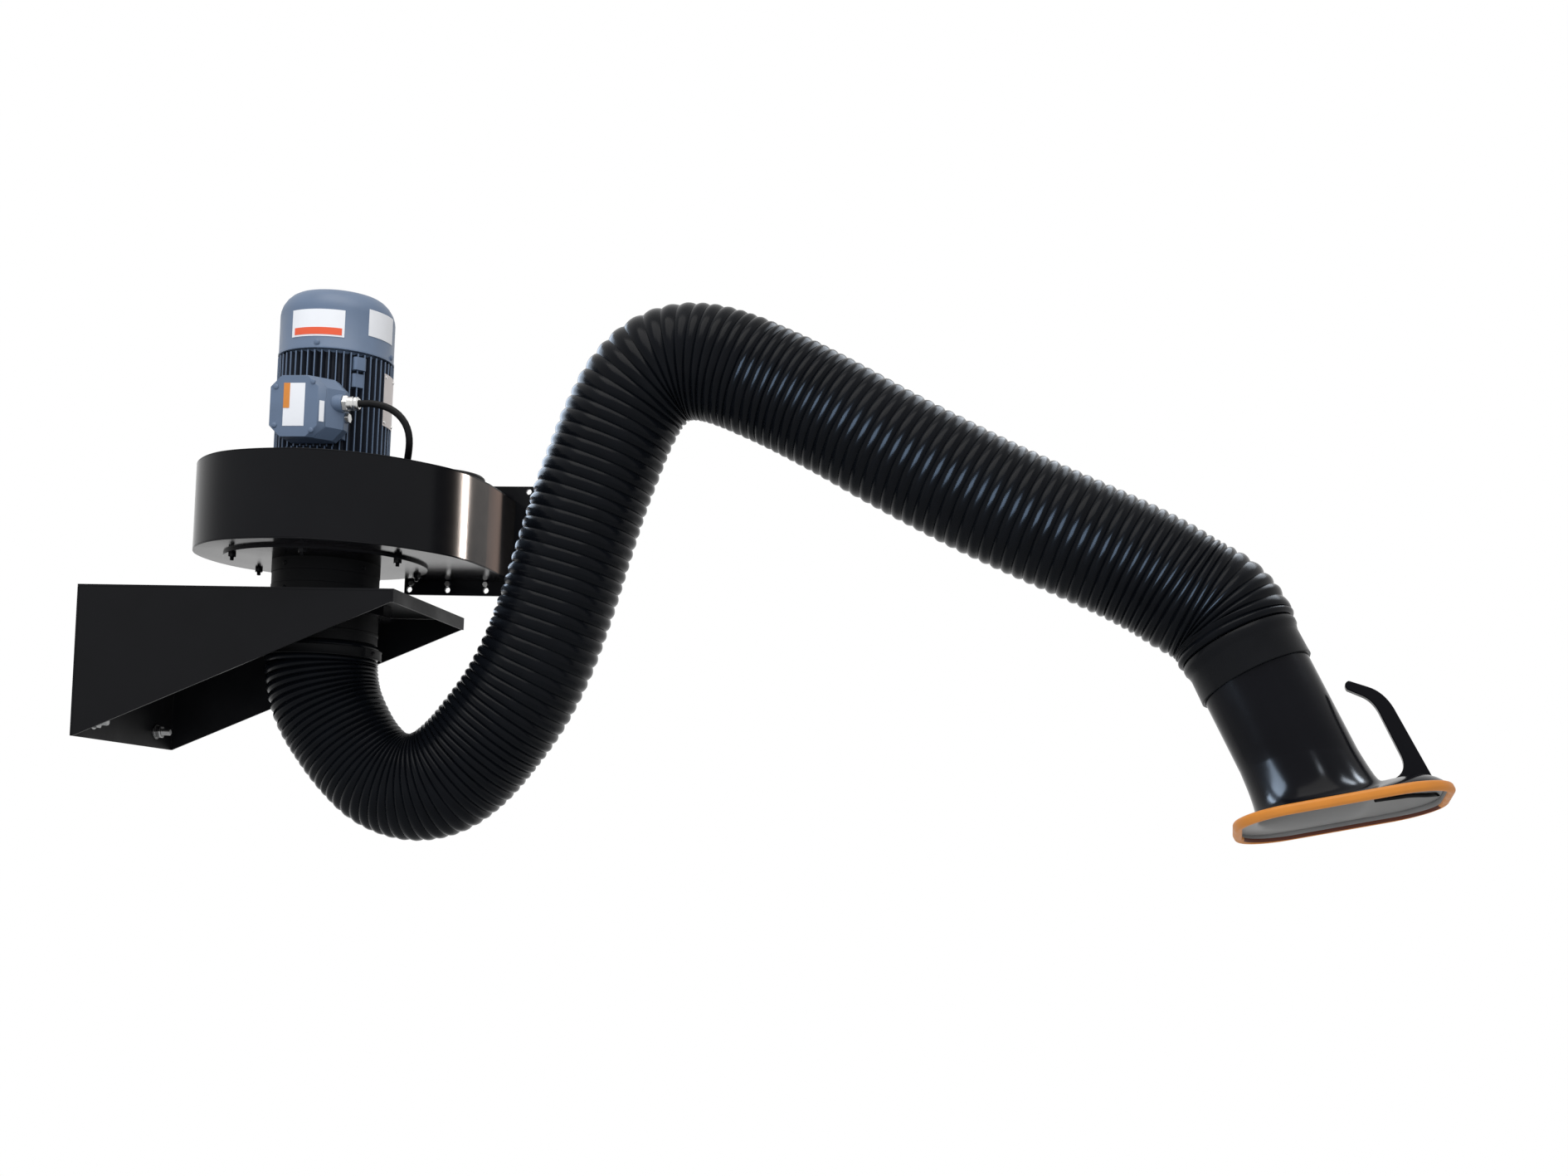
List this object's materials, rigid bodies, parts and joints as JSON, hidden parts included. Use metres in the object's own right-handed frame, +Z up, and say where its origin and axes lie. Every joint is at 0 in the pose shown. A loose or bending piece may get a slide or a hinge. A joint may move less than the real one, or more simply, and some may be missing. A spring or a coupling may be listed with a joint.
{
  "type": "fume extraction arm",
  "caption": "Wall-mounted fume extraction arm: steel bracket, centrifugal fan with electric motor, swivelling ribbed suction hose on a jointed inner skeleton, and a flared hood with a handle.",
  "frame": {"origin": "middle of the wall plate's back face", "axes": "+X straight out of the wall, +Z up, +Y to the far side of the picture's view"},
  "size_m": [1.8595, 0.3617, 0.7837],
  "materials": {
    "bracket_paint": "satin",
    "casing_paint": "gloss",
    "motor_paint": "satin",
    "bare_steel": "satin",
    "link_alloy": "satin",
    "core_iron": "matte",
    "friction_lining": "matte",
    "fan_plastic": "matte",
    "hose_plastic": "gloss",
    "hood_plastic": "gloss",
    "black_rubber": "matte",
    "orange_rubber": "satin"
  },
  "bodies": {
    "base": {"wall_plate": "bracket_paint", "top_plate": "bracket_paint", "gusset_near": "bracket_paint", "gusset_far": "bracket_paint", "scroll_wrap": "casing_paint", "scroll_bottom": "casing_paint", "scroll_top": "casing_paint", "inlet_ring": "casing_paint", "inlet_pipe": "casing_paint", "outlet_flange": "casing_paint", "swivel_ring": "casing_paint", "motor_flange": "motor_paint", "motor_frame": "motor_paint", "rear_shield": "motor_paint", "fan_cowl": "motor_paint", "terminal_box": "motor_paint", "terminal_lid": "motor_paint", "wall_anchor_1": "bare_steel", "wall_anchor_2": "bare_steel", "wall_anchor_3": "bare_steel", "wall_anchor_4": "bare_steel", "motor_bolt_1": "bare_steel", "motor_bolt_2": "bare_steel", "motor_bolt_3": "bare_steel", "motor_bolt_4": "bare_steel", "bearing_lower": "bare_steel", "bearing_upper": "bare_steel", "cable_gland": "bare_steel", "stator": "core_iron", "power_cable": "black_rubber", "cable_coil": "black_rubber", "cable_tie": "black_rubber", "power_plug": "black_rubber"},
    "rotor": {"impeller": "link_alloy", "motor_shaft": "bare_steel", "rotor_core": "core_iron", "cooling_fan": "fan_plastic"},
    "swivel": {"swivel_collar": "casing_paint", "neck_clamp": "casing_paint", "hose_neck": "hose_plastic", "hose_shoulder": "hose_plastic", "swan_neck": "link_alloy", "shoulder_pin": "bare_steel", "shoulder_disc_near": "friction_lining", "shoulder_disc_far": "friction_lining"},
    "lower": {"lower_arm": "link_alloy", "hose_lower": "hose_plastic", "hose_elbow": "hose_plastic", "elbow_pin": "bare_steel", "elbow_disc_near": "friction_lining", "elbow_disc_far": "friction_lining"},
    "upper": {"upper_arm": "link_alloy", "hose_upper": "hose_plastic", "hose_wrist": "hose_plastic"},
    "wrist": {"wrist_cross": "bare_steel"},
    "hood": {"hood_shell": "hood_plastic", "hood_rim": "orange_rubber", "hood_cuff": "black_rubber", "hood_yoke": "bare_steel", "hood_handle": "hood_plastic"}
  },
  "joints": [
    {"name": "fan_spin", "type": "hinge", "parent": "base", "child": "rotor", "pos_m": [0.302, 0, 0.3], "axis": [0, 0, 1], "continuous": true},
    {"name": "arm_swivel", "type": "hinge", "parent": "base", "child": "swivel", "pos_m": [0.302, 0, 0.08], "axis": [0, 0, 1], "range_deg": [-90, 16]},
    {"name": "shoulder", "type": "hinge", "parent": "swivel", "child": "lower", "pos_m": [0.585, 0, -0.05], "axis": [0, 1, 0], "range_deg": [-6, 35], "deforming": ["hose_shoulder"]},
    {"name": "elbow", "type": "hinge", "parent": "lower", "child": "upper", "pos_m": [0.797, 0, 0.446], "axis": [0, 1, 0], "range_deg": [-35, 30], "deforming": ["hose_elbow"]},
    {"name": "wrist_tilt", "type": "hinge", "parent": "upper", "child": "wrist", "pos_m": [1.5653, 0, 0.11455], "axis": [0, 1, 0], "range_deg": [-35, 35], "deforming": ["hose_wrist"]},
    {"name": "wrist_roll", "type": "hinge", "parent": "wrist", "child": "hood", "pos_m": [1.5653, 0, 0.11455], "axis": [0.891, 0, 0.454], "range_deg": [-21, 39], "deforming": ["hose_wrist"]}
  ]
}
